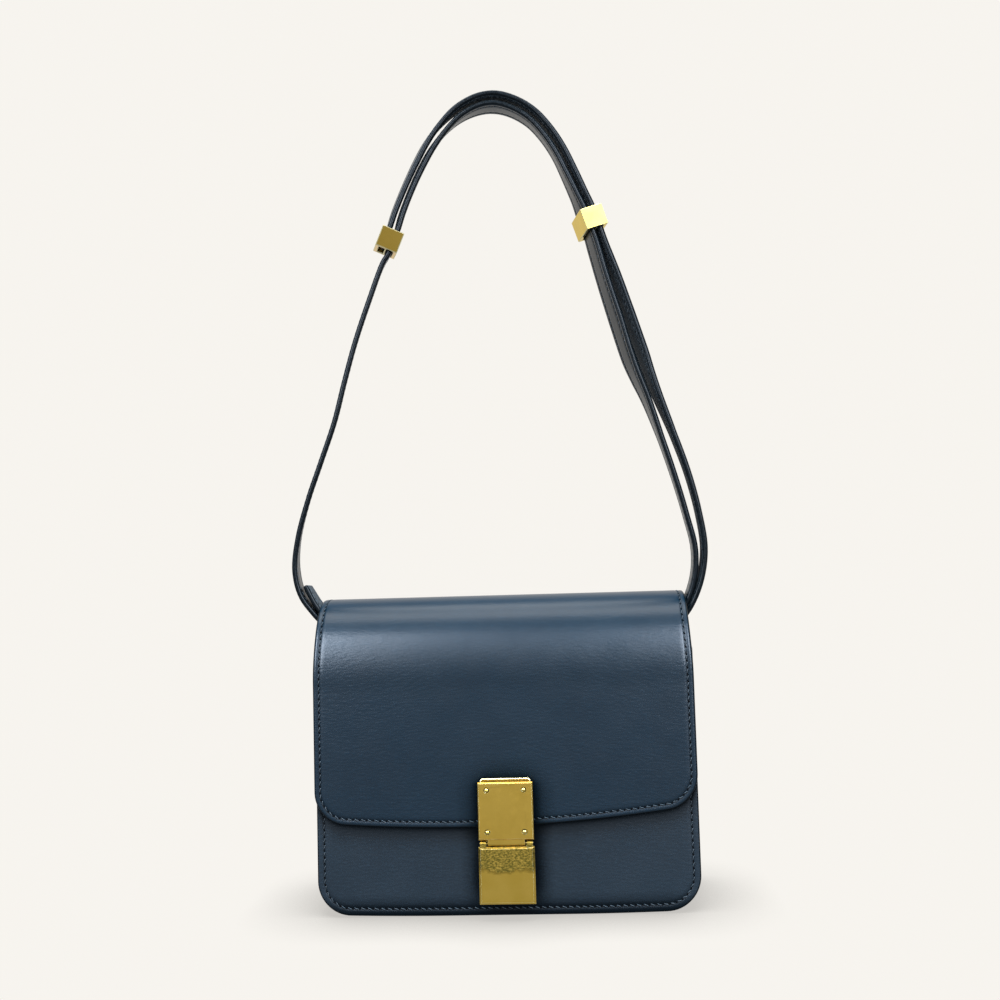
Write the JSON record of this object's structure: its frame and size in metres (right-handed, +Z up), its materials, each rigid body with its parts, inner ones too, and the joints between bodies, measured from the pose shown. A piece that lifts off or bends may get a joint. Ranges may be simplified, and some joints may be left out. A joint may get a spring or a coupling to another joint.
{
  "type": "box bag",
  "caption": "Small flap-front leather box bag with folded side gussets, a hinged metal clasp and a long doubled shoulder strap held by sliding keepers, hanging from its strap.",
  "frame": {"origin": "underside of the strap's inner layer at the top of its arch, where the bag hangs", "axes": "+Z up, +X to the right as seen from the front, -Y towards the front with the flap and clasp"},
  "size_m": [0.2203, 0.077, 0.4255],
  "materials": {
    "flap_leather": "smooth navy box calf with a fine grain and a soft satin sheen",
    "panel_leather": "smooth navy calf, satin, with painted edges",
    "strap_leather": "navy calf strap with painted edges, creased and stitched along both sides",
    "thread": "waxed blue-grey thread in slanted saddle stitches",
    "clasp_brass": "polished yellow metal with light scratches and tarnish",
    "keeper_brass": "polished yellow metal with a light brush"
  },
  "bodies": {
    "bag": {"front_panel": "panel_leather", "back_panel": "panel_leather", "gusset": "panel_leather", "flap": "flap_leather", "strap": "strap_leather", "keeper_left": "keeper_brass", "keeper_right": "keeper_brass", "strap_bracket_left": "keeper_brass", "strap_bracket_right": "keeper_brass", "clasp_back_plate": "clasp_brass", "clasp_plate": "clasp_brass", "clasp_hinge_pin": "clasp_brass", "clasp_catch": "clasp_brass", "clasp_rivet_1": "clasp_brass", "clasp_rivet_2": "clasp_brass", "clasp_rivet_3": "clasp_brass", "clasp_rivet_4": "clasp_brass"},
    "lever": {"clasp_lever": "clasp_brass"}
  },
  "joints": [
    {"name": "lever_hinge", "type": "hinge", "parent": "bag", "child": "lever", "pos_m": [-0.00057, -0.04009, -0.38019], "axis": [-1, 0, 0], "range_deg": [0, 90]}
  ]
}
